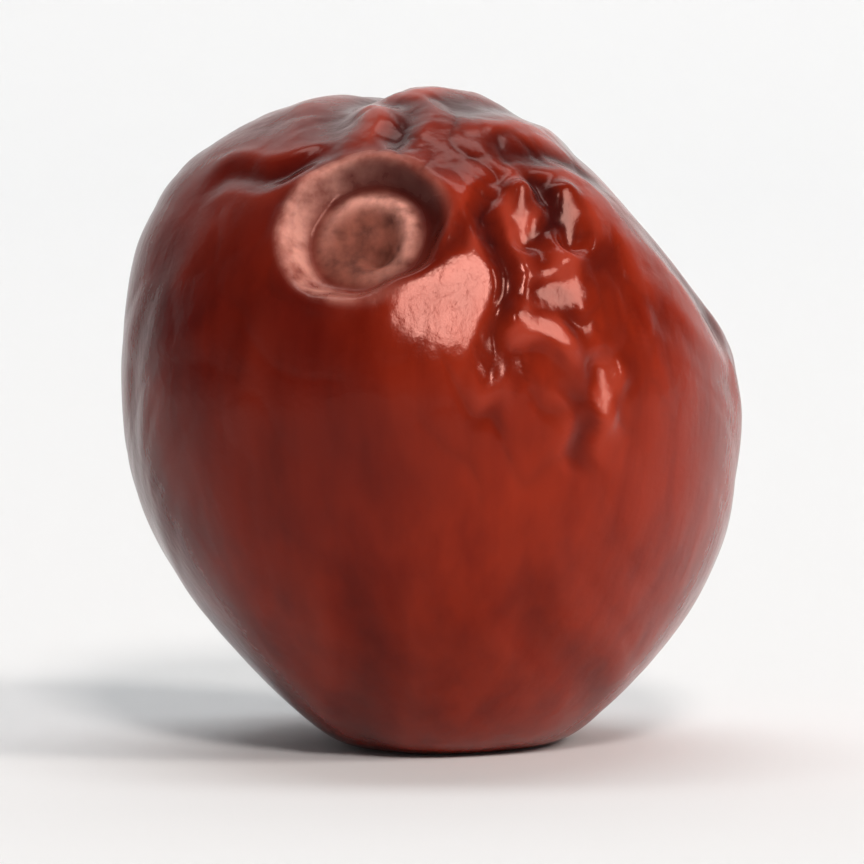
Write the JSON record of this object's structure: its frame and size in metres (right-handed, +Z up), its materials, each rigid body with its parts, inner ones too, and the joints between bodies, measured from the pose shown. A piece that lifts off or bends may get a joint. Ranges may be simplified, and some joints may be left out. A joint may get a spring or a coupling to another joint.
{
  "type": "dried jujube",
  "caption": "Small dried jujube with glossy, partly wrinkled skin, a rimmed stem cavity with a corky scar, and a flat spot that it rests on.",
  "frame": {"origin": "middle of the bounding box's foot, level with the flat spot that the fruit rests on", "axes": "+Z up; -Y towards the viewer of the picture; the stem end points forward, up and slightly left (-Y, +Z, -X)"},
  "size_m": [0.0178, 0.0196, 0.019],
  "materials": {
    "skin": "glossy dried fruit skin, dark red"
  },
  "bodies": {
    "root": {"jujube": "skin"}
  },
  "joints": []
}
